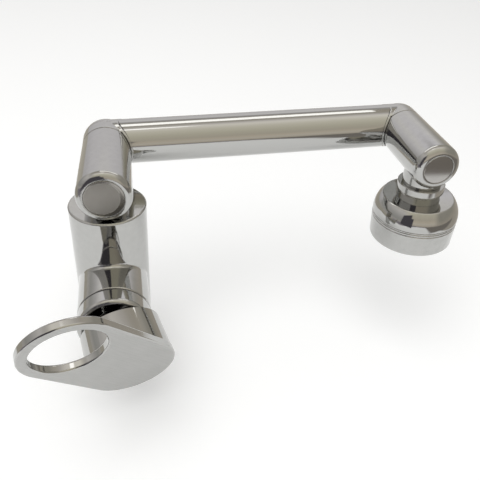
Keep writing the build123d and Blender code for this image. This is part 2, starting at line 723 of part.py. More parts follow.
def elbow(plane, spigot_plane, radius):
    """Elbow with a ball-shaped back, a narrow lip towards the arm, open to the joint and the arm."""
    with BuildPart() as lip:
        rod(spigot_plane, 0, 2 * radius, ARM_R + LIP_RISE)
        rod(plane, -2 * radius, 2 * radius, radius + LIP_W, Mode.INTERSECT)
    with BuildPart() as piece:
        rod(plane, 0, ELBOW_END, radius)
        with Locations(plane):
            Sphere(radius, arc_size1=-90, arc_size2=0)
        add(lip.part)
        rod(spigot_plane, 0, SPIGOT_L, ARM_R - ARM_WALL - SPIGOT_PLAY)
        bore(plane, ELBOW_END, ELBOW_END + ARM_R, radius + SLIP)
        bore(plane, -WATERWAY_R, ELBOW_END, SPINDLE_ROOT_R)
        bore(spigot_plane, 0, SPIGOT_L, WATERWAY_R)
    return piece


def saddle(plane, spigot_plane, radius):
    """What the arm's end is shaped to: the elbow's lip, and a shallow groove round its end."""
    with BuildPart(mode=Mode.PRIVATE) as form:
        rod(plane, -2 * radius, 2 * radius, radius + LIP_W + LIP_GROOVE)
        bore(spigot_plane, -radius, 2 * radius, ARM_R - LIP_GROOVE)
        rod(plane, -2 * radius, 2 * radius, radius + LIP_W)
    return form.part


left_knuckle = knuckle(
    left_plane, LEFT_BARREL_R, LEFT_NOSE_R, left_nose, LEFT_ROUND, LEFT_CAP_R,
    ELBOW_BACK, joint_z - neck_bottom_z, PIVOT_R,
)
left_knuckle.part.label = "left_knuckle"
right_knuckle = knuckle(
    right_plane, RIGHT_BARREL_R, RIGHT_NOSE_R, right_nose, RIGHT_ROUND, RIGHT_CAP_R,
    HEAD_FORWARD, NECK_END, NIPPLE_THREAD_R,
)
right_knuckle.part.label = "right_knuckle"

left_bush = joint_bush(left_plane, LEFT_BARREL_R - JOINT_FLANGE_IN)
left_bush.part.label = "left_bush"
right_bush = joint_bush(right_plane, RIGHT_BARREL_R - JOINT_FLANGE_IN)
right_bush.part.label = "right_bush"

left_spindle = spindle(left_bore_plane)
left_spindle.part.label = "left_spindle"
right_spindle = spindle(right_bore_plane)
right_spindle.part.label = "right_spindle"

left_o_rings = ring_pair(left_plane, seal_starts, O_RING, SPINDLE_R, SPINDLE_R - O_RING)
left_o_rings.part.label = "left_o_rings"
right_o_rings = ring_pair(right_plane, seal_starts, O_RING, SPINDLE_R, SPINDLE_R - O_RING)
right_o_rings.part.label = "right_o_rings"

left_washer = ring(left_plane, rib_end, washer_end, SPRING_WASHER_R, SPINDLE_END_R)
left_washer.part.label = "left_washer"
right_washer = ring(right_plane, rib_end, washer_end, SPRING_WASHER_R, SPINDLE_END_R)
right_washer.part.label = "right_washer"

left_nut = spindle_nut(left_bore_plane)
left_nut.part.label = "left_nut"
right_nut = spindle_nut(right_bore_plane)
right_nut.part.label = "right_nut"

left_cap = nose_cap(left_plane, left_nose, LEFT_CAP_R)
left_cap.part.label = "left_cap"
right_cap = nose_cap(right_plane, right_nose, RIGHT_CAP_R)
right_cap.part.label = "right_cap"

left_elbow = elbow(left_bore_plane, arm_plane, LEFT_BARREL_R)
left_elbow.part.label = "left_elbow"
right_elbow = elbow(right_bore_plane, arm_back_plane, RIGHT_BARREL_R)
right_elbow.part.label = "right_elbow"

# Arm tube between the elbows, each end saddled to the elbow's lip.
left_form = saddle(left_bore_plane, arm_plane, LEFT_BARREL_R)
right_form = saddle(right_bore_plane, arm_back_plane, RIGHT_BARREL_R)
with BuildPart() as arm_tube:
    with BuildSketch(arm_plane):
        Circle(ARM_R)
        Circle(ARM_R - ARM_WALL, mode=Mode.SUBTRACT)
    extrude(amount=ARM_L)
    add(left_form, mode=Mode.SUBTRACT)
    add(right_form, mode=Mode.SUBTRACT)
arm_tube.part.label = "arm_tube"

# Head nipple: screwed into the right neck, its flange carries the turning head.
collar_top = NECK_END + END_GAP
collar_bottom = collar_top + COLLAR_L
flange_top = collar_bottom + COLLAR_FLOOR + END_GAP
nipple_end = flange_top + NIPPLE_FLANGE_T
with BuildPart() as head_nipple:
    rod(head_plane, NECK_THREAD_TOP, NECK_END, NIPPLE_THREAD_R)
    rod(head_plane, NECK_END, flange_top, NIPPLE_R)
    rod(head_plane, flange_top, nipple_end, NIPPLE_FLANGE_R)
    bore(head_plane, NECK_THREAD_TOP, nipple_end, NIPPLE_BORE_R)
head_nipple.part.label = "head_nipple"

# Swivel collar: turns on the nipple, with a spigot below that carries the bell.
spigot_bottom = collar_bottom + COLLAR_SPIGOT_L
with BuildPart() as swivel_collar:
    rod(head_plane, collar_top, collar_bottom, COLLAR_R)
    fillet(swivel_collar.edges().sort_by(Axis(head_plane.origin, head_plane.z_dir))[-1], COLLAR_ROUND)
    rod(head_plane, collar_bottom, spigot_bottom, COLLAR_SPIGOT_R)
    bore(head_plane, collar_top, spigot_bottom, NIPPLE_R + RUN)
    bore(head_plane, collar_bottom + COLLAR_FLOOR, spigot_bottom, COLLAR_CAVITY_R)
swivel_collar.part.label = "swivel_collar"

head_washer = ring(head_plane, nipple_end, nipple_end + HEAD_WASHER_T, COLLAR_CAVITY_R, NIPPLE_BORE_R)
head_washer.part.label = "head_washer"

# Bell: thin spun shell with a slightly dished top, a rounded rim and a bulging shoulder.
bell_rim_r = BELL_R - BELL_RIM_IN
bell_mid_r = BELL_R - BELL_MID_IN
with BuildPart() as bell:
    with BuildSketch(through_axis(head_plane)):
        with BuildLine():
            Polyline(
                (BELL_R - BELL_WALL, BELL_BOTTOM),
                (BELL_R, BELL_BOTTOM),
            )
            ThreePointArc((BELL_R, BELL_BOTTOM), (bell_mid_r, BELL_MID), (bell_rim_r, BELL_TOP))
            Polyline(
                (bell_rim_r, BELL_TOP),
                (COLLAR_SPIGOT_R, BELL_TOP + BELL_DISH),
                (COLLAR_SPIGOT_R, BELL_TOP + BELL_DISH + BELL_WALL),
                (bell_rim_r - BELL_WALL, BELL_TOP + BELL_WALL),
            )
            ThreePointArc(
                (bell_rim_r - BELL_WALL, BELL_TOP + BELL_WALL),
                (bell_mid_r - BELL_WALL, BELL_MID + BELL_WALL / 2),
                (BELL_R - BELL_WALL, BELL_BOTTOM),
            )
        make_face()
    revolve(axis=Axis(head_plane.origin, head_plane.z_dir))
    head_axis = Axis(head_plane.origin, head_plane.z_dir)
    rim = bell.edges().filter_by(GeomType.CIRCLE).filter_by(lambda e: abs(e.radius - bell_rim_r) < 0.01)
    fillet(rim, BELL_RIM_ROUND)
bell.part.label = "bell"

# Core: plastic body inside the bell that leads the water to the spray plate.
core_top = nipple_end + HEAD_WASHER_T
flare_top = RING_RIB_TOP + RING_RIB_T + END_GAP
plate_r = BELL_R - RING_TAPER - RING_WALL - SLIP
with BuildPart() as head_core:
    rod(head_plane, core_top, CORE_SHOULDER, COLLAR_CAVITY_R)
    rod(head_plane, CORE_SHOULDER, flare_top, CORE_R)
    rod(head_plane, flare_top, SPRAY_TOP, plate_r)
    bore(head_plane, core_top, flare_top + CORE_FLOOR_T, NIPPLE_BORE_R)
    bore(head_plane, flare_top + CORE_FLOOR_T, SPRAY_TOP, plate_r - CORE_WALL)
head_core.part.label = "head_core"

# Spray plate with two circles of nozzles round the aerator.
with BuildPart() as spray_plate:
    with BuildSketch(head_plane.offset(SPRAY_TOP)):
        Circle(plate_r)
        Circle(AERATOR_R, mode=Mode.SUBTRACT)
        with PolarLocations(INNER_NOZZLES_R, INNER_NOZZLE_COUNT):
            Circle(NOZZLE_R, mode=Mode.SUBTRACT)
        with PolarLocations(OUTER_NOZZLES_R, OUTER_NOZZLE_COUNT):
            Circle(NOZZLE_R, mode=Mode.SUBTRACT)
    extrude(amount=SPRAY_T)
spray_plate.part.label = "spray_plate"

# Aerator: cup with a pierced grid near its mouth.
aerator_end = SPRAY_TOP + SPRAY_T + AERATOR_SILL
with BuildPart() as aerator:
    rod(head_plane, AERATOR_TOP, aerator_end, AERATOR_R)
    bore(head_plane, AERATOR_TOP, aerator_end - AERATOR_SILL - AERATOR_GRID_T, AERATOR_R - AERATOR_WALL)
    bore(head_plane, aerator_end - AERATOR_SILL, aerator_end, AERATOR_R - AERATOR_WALL)
    with BuildSketch(head_plane.offset(aerator_end - AERATOR_SILL)):
        Circle(AERATOR_GRID_R)
        with PolarLocations((AERATOR_R - AERATOR_WALL) * 0.6, 6):
            Circle(AERATOR_GRID_R)
    extrude(amount=-AERATOR_GRID_T, mode=Mode.SUBTRACT)
aerator.part.label = "aerator"

# Selector ring: turns under the bell to change the spray, with two fine grooves.
ring_top = BELL_BOTTOM + RING_GAP
with BuildPart() as selector_ring:
    with BuildSketch(through_axis(head_plane)):
        with BuildLine():
            Polyline(
                (plate_r + SLIP, ring_top),
                (BELL_R, ring_top),
                (BELL_R - RING_TAPER, RING_BOTTOM),
                (plate_r + SLIP, RING_BOTTOM),
                (plate_r + SLIP, RING_RIB_TOP + RING_RIB_T),
                (RING_RIB_R, RING_RIB_TOP + RING_RIB_T),
                (RING_RIB_R, RING_RIB_TOP),
                (plate_r + SLIP, RING_RIB_TOP),
                close=True,
            )
        make_face()
        for station in RING_GROOVES:
            with Locations((BELL_R, station)):
                Rectangle(2 * RING_GROOVE_W, RING_GROOVE_W, mode=Mode.SUBTRACT)
    revolve(axis=head_axis)
    lip = selector_ring.edges().filter_by(GeomType.CIRCLE).group_by(head_axis)[-1]
    fillet(lip.sort_by(SortBy.RADIUS)[-1], RING_EDGE)
selector_ring.part.label = "selector_ring"

# Diverter disc, carried by the selector ring's inner rib.
with BuildPart() as diverter_disc:
    rod(head_plane, RING_RIB_TOP, RING_RIB_TOP + DIVERTER_T, RING_RIB_R)
    bore(head_plane, RING_RIB_TOP, RING_RIB_TOP + DIVERTER_T, CORE_R + SLIP)
diverter_disc.part.label = "diverter_disc"

pieces = [
    body, base_gasket, fixing_stud, clamp_gasket, clamp_plate, fixing_nut,
    cartridge_base, inlet_seals, outlet_seal, cartridge_housing, fixed_disc, cartridge_nut,
    seam_ring, cover_collar, spout_bush, spout_set_screw,
    cartridge_turret, stem_pin, moving_disc, disc_carrier,
    lever, stem, grub_screw, screw_plug,
    left_knuckle, pivot_tube, spout_o_rings, left_bush, left_cap,
    left_elbow, left_spindle, left_o_rings, left_washer, left_nut, arm_tube,
    right_elbow, right_spindle, right_o_rings, right_washer, right_nut,
    right_knuckle, right_bush, right_cap, head_nipple,
    swivel_collar, head_washer, bell, head_core, spray_plate, aerator,
    selector_ring, diverter_disc,
]
os.makedirs("parts", exist_ok=True)
for piece in pieces:
    export_step(piece.part, f"parts/{piece.part.label}.step")
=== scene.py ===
from math import radians

import bmesh
import bpy
from mathutils import Matrix, Vector


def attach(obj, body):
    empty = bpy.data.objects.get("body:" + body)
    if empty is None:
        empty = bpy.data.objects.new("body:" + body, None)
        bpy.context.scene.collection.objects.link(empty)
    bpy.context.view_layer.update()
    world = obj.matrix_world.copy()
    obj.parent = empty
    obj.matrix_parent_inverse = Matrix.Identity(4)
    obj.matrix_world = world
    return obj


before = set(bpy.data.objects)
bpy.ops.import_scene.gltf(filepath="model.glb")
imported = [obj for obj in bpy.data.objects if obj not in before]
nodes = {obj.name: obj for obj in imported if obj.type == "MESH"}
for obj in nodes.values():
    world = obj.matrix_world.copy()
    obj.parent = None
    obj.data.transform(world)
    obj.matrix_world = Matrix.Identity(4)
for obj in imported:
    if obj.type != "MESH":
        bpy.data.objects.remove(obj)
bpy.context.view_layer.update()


# Camera. A phone held above the sink edge, a little left of the arm's middle, looking down at
# the tap. Its place and lens were worked out from the outlines of the column, arm and head.
picture_width = 480.0
focal_length = 555.0
phone_at = (0.0130, -0.3135, 0.3266)
look = Vector((0.1934, 0.787, -0.586)).normalized()
screen_right = Vector((0.979, -0.1942, 0.0623))
screen_right = (screen_right - look * screen_right.dot(look)).normalized()
screen_up = screen_right.cross(look)
phone_lens = bpy.data.cameras.new("phone")
phone_lens.sensor_width = 36.0
phone_lens.lens = phone_lens.sensor_width * focal_length / picture_width
phone_lens.clip_start = 0.01
phone = bpy.data.objects.new("phone", phone_lens)
phone.matrix_world = (Matrix.Translation(phone_at)
                      @ Matrix((screen_right, screen_up, -look)).transposed().to_4x4())
bpy.context.scene.collection.objects.link(phone)
bpy.context.scene.camera = phone
bpy.context.scene.view_settings.view_transform = "Standard"


# Deck. A matt white board under the tap. Seen by the camera or in the metal it is as white as
# the backdrop, and only the tap's own soft shadow shows where it stands.
def to_linear(code):
    channels = [int(code[i:i + 2], 16) / 255 for i in (1, 3, 5)]
    return [c / 12.92 if c <= 0.04045 else ((c + 0.055) / 1.055) ** 2.4 for c in channels] + [1.0]


def add(tree, kind, links=None, stops=None, **settings):
    node = tree.nodes.new(kind)
    for name, value in settings.items():
        setattr(node, name, value)
    for socket, source in (links or {}).items():
        if isinstance(source, bpy.types.Node):
            source = source.outputs[0]
        if isinstance(source, bpy.types.NodeSocket):
            tree.links.new(source, node.inputs[socket])
        else:
            node.inputs[socket].default_value = source
    for number, (place, code) in enumerate(stops or ()):
        bands = node.color_ramp.elements
        stop = bands[number] if number < 1 else bands.new(place)
        stop.position = place
        stop.color = to_linear(code)
    if stops:
        node.color_ramp.elements.remove(node.color_ramp.elements[-1])
    return node


def new_material(name):
    material = bpy.data.materials.new(name)
    material.use_nodes = True
    material.node_tree.nodes.clear()
    return material, material.node_tree


board_size = 40.0
board_lift = 0.16
# Painted fibreboard: its tooth is finer than a pixel, so it is drawn 1.5 mm coarse
board, tree = new_material("matt_painted_board")
place = add(tree, "ShaderNodeTexCoord").outputs["Object"]
tooth = add(tree, "ShaderNodeTexNoise", {"Vector": place, "Scale": 650.0, "Detail": 3.0})
dimples = add(tree, "ShaderNodeBump", {"Height": tooth, "Strength": 0.05, "Distance": 0.0002})
paint = add(tree, "ShaderNodeBsdfPrincipled", {
    "Base Color": to_linear("#f4f4f3"), "Roughness": 0.9, "Specular IOR Level": 0.1, "Normal": dimples,
})
ray = add(tree, "ShaderNodeLightPath")
seen = add(tree, "ShaderNodeMath", {0: ray.outputs["Is Camera Ray"], 1: ray.outputs["Is Glossy Ray"]},
           operation="MAXIMUM")
seen = add(tree, "ShaderNodeMath", {0: seen, 1: ray.outputs["Is Transmission Ray"]}, operation="MAXIMUM")
lift = add(tree, "ShaderNodeMath", {0: seen, 1: board_lift}, operation="MULTIPLY")
white = add(tree, "ShaderNodeEmission", {"Color": to_linear("#ffffff"), "Strength": lift})
both = add(tree, "ShaderNodeAddShader", {0: paint, 1: white})
add(tree, "ShaderNodeOutputMaterial", {"Surface": both})
bpy.ops.object.select_all(action="DESELECT")
bpy.ops.mesh.primitive_plane_add(size=board_size, location=(0.1, 0.0, 0.0))
deck = bpy.context.object
deck.name = "deck_board"
deck.data.transform(deck.matrix_world)
deck.matrix_world = Matrix.Identity(4)
deck.data.materials.append(board)

# The room behind is white to the eye and in the metal, and lights the board and tap more softly
room_light = 0.62
studio = bpy.data.worlds.new("white_studio")
studio.use_nodes = True
bpy.context.scene.world = studio
tree = studio.node_tree
tree.nodes.clear()
ray = add(tree, "ShaderNodeLightPath")
seen = add(tree, "ShaderNodeMath", {0: ray.outputs["Is Camera Ray"], 1: ray.outputs["Is Glossy Ray"]},
           operation="MAXIMUM")
seen = add(tree, "ShaderNodeMath", {0: seen, 1: ray.outputs["Is Transmission Ray"]}, operation="MAXIMUM")
level = add(tree, "ShaderNodeMapRange", {"Value": seen, "To Min": room_light, "To Max": 1.0})
sky = add(tree, "ShaderNodeBackground", {"Color": to_linear("#ffffff"), "Strength": level})
add(tree, "ShaderNodeOutputWorld", {"Surface": sky})


# Cloth tent. Polished metal shows only what stands round it, so a dome of grey and warm cloth
# stands over the board, with a small lamp in its roof. It shows in reflections alone.
tent_radius = 2.2
tent_eye = (0.10, 0.02, 0.13)
# Each colour is the tone that the chrome shows there, so the cloth glows by one over the chrome
# The chrome's tone, with a slight warmth of the room's reflection painted into it
chrome_tone = "#b5b5b3"
tent_glow = 1.0 / to_linear(chrome_tone)[1]
tent_cloth, tree = new_material("tent_cloth")
place = add(tree, "ShaderNodeTexCoord").outputs["Object"]
away = add(tree, "ShaderNodeVectorMath", {0: place, 1: tent_eye}, operation="SUBTRACT")
away = add(tree, "ShaderNodeVectorMath", {0: away}, operation="NORMALIZE")
axes = add(tree, "ShaderNodeSeparateXYZ", {"Vector": away})
# Sweep over the top, from 15 degrees under the back horizon to 15 under the front one
below_horizon = 15
over_tones = (
    (-15, "#858382"), (-2, "#939192"), (7, "#9b999a"), (14, "#a2a0a1"), (24, "#a8a6a7"), (32, "#b0aeac"),
    (39, "#afadb0"), (42, "#858382"), (50, "#878480"), (62, "#857f75"), (75, "#8b867e"), (81, "#98948f"),
    (88, "#b4b0aa"), (95, "#bdb9b1"), (112, "#aca89b"), (135, "#9d998b"), (155, "#958f83"),
    (165, "#9d9588"), (173, "#a09a8f"), (180, "#958e84"), (190, "#76716b"),
)
sweep = add(tree, "ShaderNodeMath", {0: axes.outputs["Y"], 1: axes.outputs["Z"]}, operation="ARCTAN2")
sweep = add(tree, "ShaderNodeMapRange", {
    "Value": sweep, "From Min": radians(90 + below_horizon), "From Max": radians(-90 - below_horizon),
})
over = add(tree, "ShaderNodeValToRGB", {"Fac": sweep}, stops=[
    ((angle + below_horizon) / (180 + 2 * below_horizon), code) for angle, code in over_tones
])
# The two sides, from the horizon up
left = add(tree, "ShaderNodeValToRGB", {"Fac": axes.outputs["Z"]}, stops=(
    (0.0, "#8a8783"), (0.12, "#7c7b78"), (0.35, "#8a8886"), (0.64, "#a3a09d"), (0.80, "#8b8884"),
    (0.97, "#6a6665"),
))
right = add(tree, "ShaderNodeValToRGB", {"Fac": axes.outputs["Z"]}, stops=(
    (0.0, "#857f76"), (0.20, "#7b7870"), (0.50, "#7c7972"), (0.77, "#938f87"), (0.95, "#b0ada5"),
))
is_right = add(tree, "ShaderNodeMath", {0: axes.outputs["X"], 1: 0.0}, operation="GREATER_THAN")
side = add(tree, "ShaderNodeMix", {0: is_right, 6: left, 7: right}, data_type="RGBA")
reach = add(tree, "ShaderNodeMath", {0: axes.outputs["X"]}, operation="ABSOLUTE")
reach = add(tree, "ShaderNodeMapRange", {"Value": reach, "From Min": 0.42, "From Max": 0.72},
            interpolation_type="SMOOTHSTEP")
cloth = add(tree, "ShaderNodeMix", {0: reach, 6: over, 7: side.outputs[2]}, data_type="RGBA")
# A small lamp in the roof, over the tap and a little to its left, which puts a white dash inside
# the lever's ring
lamp = add(tree, "ShaderNodeVectorMath", {0: away, 1: (0.10, 0.03, 0.0)}, operation="ADD")
lamp = add(tree, "ShaderNodeVectorMath", {0: lamp, 1: (9.0, 22.0, 0.0)}, operation="MULTIPLY")
lamp = add(tree, "ShaderNodeVectorMath", {0: lamp}, operation="LENGTH").outputs["Value"]
lamp = add(tree, "ShaderNodeMapRange", {"Value": lamp, "From Min": 1.2, "From Max": 0.75},
           interpolation_type="SMOOTHSTEP")
cloth = add(tree, "ShaderNodeMix", {0: lamp, 6: cloth.outputs[2], 7: to_linear("#fffdfa")},
            data_type="RGBA")
glow = add(tree, "ShaderNodeEmission", {"Color": cloth.outputs[2], "Strength": tent_glow})
add(tree, "ShaderNodeOutputMaterial", {"Surface": glow})


def reflections_only(piece):
    piece.visible_camera = False
    piece.visible_diffuse = False
    piece.visible_transmission = False
    piece.visible_shadow = False


bpy.ops.object.select_all(action="DESELECT")
bpy.ops.mesh.primitive_uv_sphere_add(
    segments=64, ring_count=32, radius=tent_radius, location=(0.0, 0.0, 0.0),
)
tent = bpy.context.object
tent.name = "light_tent"
shell = bmesh.new()
shell.from_mesh(tent.data)
under_board = -0.01
bmesh.ops.delete(shell, geom=[v for v in shell.verts if v.co.z < under_board], context="VERTS")
bmesh.ops.reverse_faces(shell, faces=shell.faces)
shell.to_mesh(tent.data)
shell.free()
tent.data.materials.append(tent_cloth)
reflections_only(tent)

# Grey felt lies round the white sheet that the tap stands on, and the sheet runs out to the front.
# The felt lies 1.5 mm over the board and fades out over 6 cm at the sheet's edge
felt_height = 0.0015
felt_fade = 0.06
felt, tree = new_material("grey_felt")
place = add(tree, "ShaderNodeTexCoord").outputs["Object"]
outside = []
for centre, half in (((0.07, 0.035, 0.0), (0.33, 0.235, 1.0)), ((0.065, -0.60, 0.0), (0.20, 0.55, 1.0))):
    away = add(tree, "ShaderNodeVectorMath", {0: place, 1: centre}, operation="SUBTRACT")
    away = add(tree, "ShaderNodeVectorMath", {0: away}, operation="ABSOLUTE")
    away = add(tree, "ShaderNodeVectorMath", {0: away, 1: half}, operation="SUBTRACT")
    away = add(tree, "ShaderNodeVectorMath", {0: away, 1: (0.0, 0.0, 0.0)}, operation="MAXIMUM")
    outside.append(add(tree, "ShaderNodeVectorMath", {0: away}, operation="LENGTH").outputs["Value"])
edge = add(tree, "ShaderNodeMath", {0: outside[0], 1: outside[1]}, operation="MINIMUM")
edge = add(tree, "ShaderNodeMapRange", {"Value": edge, "From Min": 0.0, "From Max": felt_fade},
           interpolation_type="SMOOTHSTEP")
axes = add(tree, "ShaderNodeSeparateXYZ", {"Vector": place})
to_right = add(tree, "ShaderNodeMapRange", {"Value": axes.outputs["X"], "From Min": -0.2, "From Max": 0.4})
to_front = add(tree, "ShaderNodeMapRange", {
    "Value": axes.outputs["Y"], "From Min": -0.15, "From Max": -0.21,
})
pale = add(tree, "ShaderNodeMix", {0: to_right, 6: to_linear("#868279"), 7: to_linear("#858078")},
           data_type="RGBA")
dark = add(tree, "ShaderNodeMix", {0: to_right, 6: to_linear("#6a666a"), 7: to_linear("#635f5a")},
           data_type="RGBA")
grey = add(tree, "ShaderNodeMix", {0: to_front, 6: pale.outputs[2], 7: dark.outputs[2]}, data_type="RGBA")
glow = add(tree, "ShaderNodeEmission", {"Color": grey.outputs[2], "Strength": tent_glow})
clear = add(tree, "ShaderNodeBsdfTransparent")
both = add(tree, "ShaderNodeMixShader", {0: edge, 1: clear, 2: glow})
add(tree, "ShaderNodeOutputMaterial", {"Surface": both})
bpy.ops.object.select_all(action="DESELECT")
bpy.ops.mesh.primitive_plane_add(size=2.0 * tent_radius, location=(0.0, 0.0, felt_height))
mat = bpy.context.object
mat.name = "felt_round_the_sheet"
mat.data.transform(mat.matrix_world)
mat.matrix_world = Matrix.Identity(4)
mat.data.materials.append(felt)
reflections_only(mat)


# Cards stand round the tap: two dark ones left of the camera, and a lit panel overhead behind it
# that draws the white line along the arm
def stand_card(name, code, centre, size, leaning):
    material, tree = new_material(name)
    glow = add(tree, "ShaderNodeEmission", {"Color": to_linear(code), "Strength": tent_glow})
    add(tree, "ShaderNodeOutputMaterial", {"Surface": glow})
    bpy.ops.object.select_all(action="DESELECT")
    bpy.ops.mesh.primitive_cube_add(size=1.0, location=centre, rotation=[radians(a) for a in leaning])
    card = bpy.context.object
    card.name = name
    card.data.transform(Matrix.Diagonal((*size, 1.0)))
    card.data.transform(card.matrix_world)
    card.matrix_world = Matrix.Identity(4)
    card.data.materials.append(material)
    reflections_only(card)


stand_card("dark_card", "#3d3b3f", (-0.27, -0.42, 0.265), (0.38, 0.004, 0.53), (0, 0, 0))
stand_card("low_dark_card", "#3d3b3f", (-0.05, -0.42, 0.17), (0.06, 0.004, 0.34), (0, 0, 0))
stand_card("panel_behind", "#fdfbf8", (0.13, 0.187, 0.455), (0.36, 0.082, 0.004), (-24.5, 0, 0))

# Soft box overhead, which gives the soft shadow on the board
softbox_light = bpy.data.lights.new("overhead_softbox", "AREA")
softbox_light.shape = "RECTANGLE"
softbox_light.size, softbox_light.size_y = 1.4, 1.4
softbox_light.energy = 14.0
softbox = bpy.data.objects.new("overhead_softbox", softbox_light)
softbox.location = (-0.3, -0.5, 1.6)
softbox.rotation_euler = (Vector((0.1, 0.0, 0.0)) - softbox.location).to_track_quat("-Z", "Y").to_euler()
softbox.visible_glossy = False
bpy.context.scene.collection.objects.link(softbox)


# Body casting. Gravity-cast brass, ground and polished by hand, then nickel and chrome plated.
# The hand polishing leaves waves a finger wide that bend what the column mirrors.
def wear(material, *names):
    for name in names:
        mesh = nodes[name].data
        mesh.materials.clear()
        mesh.materials.append(material)


# Bright chrome plate: a mirror whose tone has a little of the room's warm reflection painted into it, with
# waves (their width and height in mm) under the mirror, edges that the buffing wheel has rounded by 1 mm so
# that they catch a pale line, and a wiped haze that makes it dull in patches of 4 mm
buffed_edge = 0.001


def chrome_plate(name, tone, wave_width, wave_height, haze):
    material, tree = new_material(name)
    place = add(tree, "ShaderNodeTexCoord").outputs["Object"]
    waves = add(tree, "ShaderNodeTexNoise", {"Vector": place, "Scale": 1000.0 / wave_width, "Detail": 1.0})
    buffed = add(tree, "ShaderNodeBevel", {"Radius": buffed_edge}, samples=6)
    bent = add(tree, "ShaderNodeBump", {
        "Height": waves, "Strength": 1.0, "Distance": wave_height / 1000.0, "Normal": buffed,
    })
    wiped = add(tree, "ShaderNodeTexNoise", {
        "Vector": place, "Scale": 250.0, "Detail": 4.0, "Roughness": 0.6,
    })
    dull = add(tree, "ShaderNodeMapRange", {
        "Value": wiped, "From Min": 0.35, "From Max": 0.75, "To Min": haze * 0.7, "To Max": haze * 1.7,
    })
    plate = add(tree, "ShaderNodeMapRange", {"Value": wiped, "From Min": 0.3, "From Max": 0.7})
    bright = add(tree, "ShaderNodeMix", {
        0: plate, 6: [c * 1.02 for c in to_linear(tone)], 7: [c * 0.96 for c in to_linear(tone)],
    }, data_type="RGBA")
    metal = add(tree, "ShaderNodeBsdfPrincipled", {
        "Base Color": bright.outputs[2], "Metallic": 1.0, "Roughness": dull, "Normal": bent,
    })
    add(tree, "ShaderNodeOutputMaterial", {"Surface": metal})
    return material


wear(chrome_plate("cast_chrome", chrome_tone, 16.0, 0.05, 0.06), "body")


# Rubber seals. The foot gasket, the clamp gasket, the cartridge's face seals and the O-rings are
# moulded in EPDM rubber and lie in their grooves or under the pieces that press them.
rubber, tree = new_material("moulded_epdm_rubber")
place = add(tree, "ShaderNodeTexCoord").outputs["Object"]
# Black with a grey bloom in patches of 3 mm, and a fine skin from the spark-eroded mould
bloom = add(tree, "ShaderNodeTexNoise", {"Vector": place, "Scale": 330.0, "Detail": 3.0})
black = add(tree, "ShaderNodeValToRGB", {"Fac": bloom}, stops=((0.35, "#1a1a1b"), (0.75, "#2a2a2b")))
skin = add(tree, "ShaderNodeTexNoise", {"Vector": place, "Scale": 2500.0, "Detail": 2.0})
skin_bump = add(tree, "ShaderNodeBump", {"Height": skin, "Strength": 0.4, "Distance": 0.00003})
rubber_face = add(tree, "ShaderNodeBsdfPrincipled", {
    "Base Color": black, "Roughness": 0.62, "IOR": 1.52, "Normal": skin_bump,
})
add(tree, "ShaderNodeOutputMaterial", {"Surface": rubber_face})
wear(rubber, "base_gasket", "clamp_gasket", "inlet_seals", "outlet_seal", "seam_ring", "spout_o_rings",
     "left_o_rings", "right_o_rings", "head_washer")


# Fixing set. A threaded stud, a horseshoe plate and a long hexagon nut hold the tap down from
# under the deck. All three are mild steel, turned or pressed, and zinc plated.
# Turned metal: feed marks about 0.1 mm apart round the axis that it was turned on, drawn as soft
# rings a few mm wide so that they show (six times the pitch given, in mm), and a grey or yellow
# tone that is duller where it was handled
def turned_metal(name, tone, turned_on, pitch, haze):
    material, tree = new_material(name)
    place = add(tree, "ShaderNodeTexCoord").outputs["Object"]
    rings = add(tree, "ShaderNodeTexWave", {
        "Vector": place, "Scale": 1000.0 / pitch / 20.0, "Distortion": 0.6, "Detail": 2.0,
        "Detail Scale": 2.0,
    }, wave_type="BANDS", bands_direction=turned_on)
    ridges = add(tree, "ShaderNodeBump", {"Height": rings, "Strength": 0.3, "Distance": 0.00002})
    handled = add(tree, "ShaderNodeTexNoise", {"Vector": place, "Scale": 180.0, "Detail": 4.0})
    shade = add(tree, "ShaderNodeMix", {
        0: handled, 6: to_linear(tone), 7: [c * 0.72 for c in to_linear(tone)],
    }, data_type="RGBA")
    dull = add(tree, "ShaderNodeMapRange", {"Value": handled, "To Min": haze * 0.7, "To Max": haze * 1.4})
    metal = add(tree, "ShaderNodeBsdfPrincipled", {
        "Base Color": shade.outputs[2], "Metallic": 1.0, "Roughness": dull, "Normal": ridges,
    })
    add(tree, "ShaderNodeOutputMaterial", {"Surface": metal})
    return material


zinc = turned_metal("zinc_plated_steel", "#b4b6b8", "Z", 0.8, 0.34)
wear(zinc, "fixing_stud", "clamp_plate", "fixing_nut")


# Cartridge. A white housing and turret hold two ceramic discs, the carrier that slides the upper
# one, and a steel stem on a pin. It drops into the branch, and a brass nut presses it home.
# Moulded plastic: even colour with a slight flow mottle, under the fine skin of a polished mould
def moulded_plastic(name, tone, gloss_loss):
    material, tree = new_material(name)
    place = add(tree, "ShaderNodeTexCoord").outputs["Object"]
    flow = add(tree, "ShaderNodeTexNoise", {
        "Vector": place, "Scale": 90.0, "Detail": 2.0, "Distortion": 0.8,
    })
    shade = add(tree, "ShaderNodeMix", {
        0: flow, 6: [c * 1.06 for c in to_linear(tone)], 7: [c * 0.92 for c in to_linear(tone)],
    }, data_type="RGBA")
    skin = add(tree, "ShaderNodeTexNoise", {"Vector": place, "Scale": 1600.0, "Detail": 2.0})
    dimples = add(tree, "ShaderNodeBump", {"Height": skin, "Strength": 0.25, "Distance": 0.00003})
    dull = add(tree, "ShaderNodeMapRange", {
        "Value": flow, "To Min": gloss_loss * 0.85, "To Max": gloss_loss * 1.15,
    })
    plastic = add(tree, "ShaderNodeBsdfPrincipled", {
        "Base Color": shade.outputs[2], "Roughness": dull, "IOR": 1.48, "Normal": dimples,
    })
    add(tree, "ShaderNodeOutputMaterial", {"Surface": plastic})
    return material


white_acetal = moulded_plastic("white_acetal", "#dcdad2", 0.42)
wear(white_acetal, "cartridge_base", "cartridge_housing", "cartridge_turret", "disc_carrier")
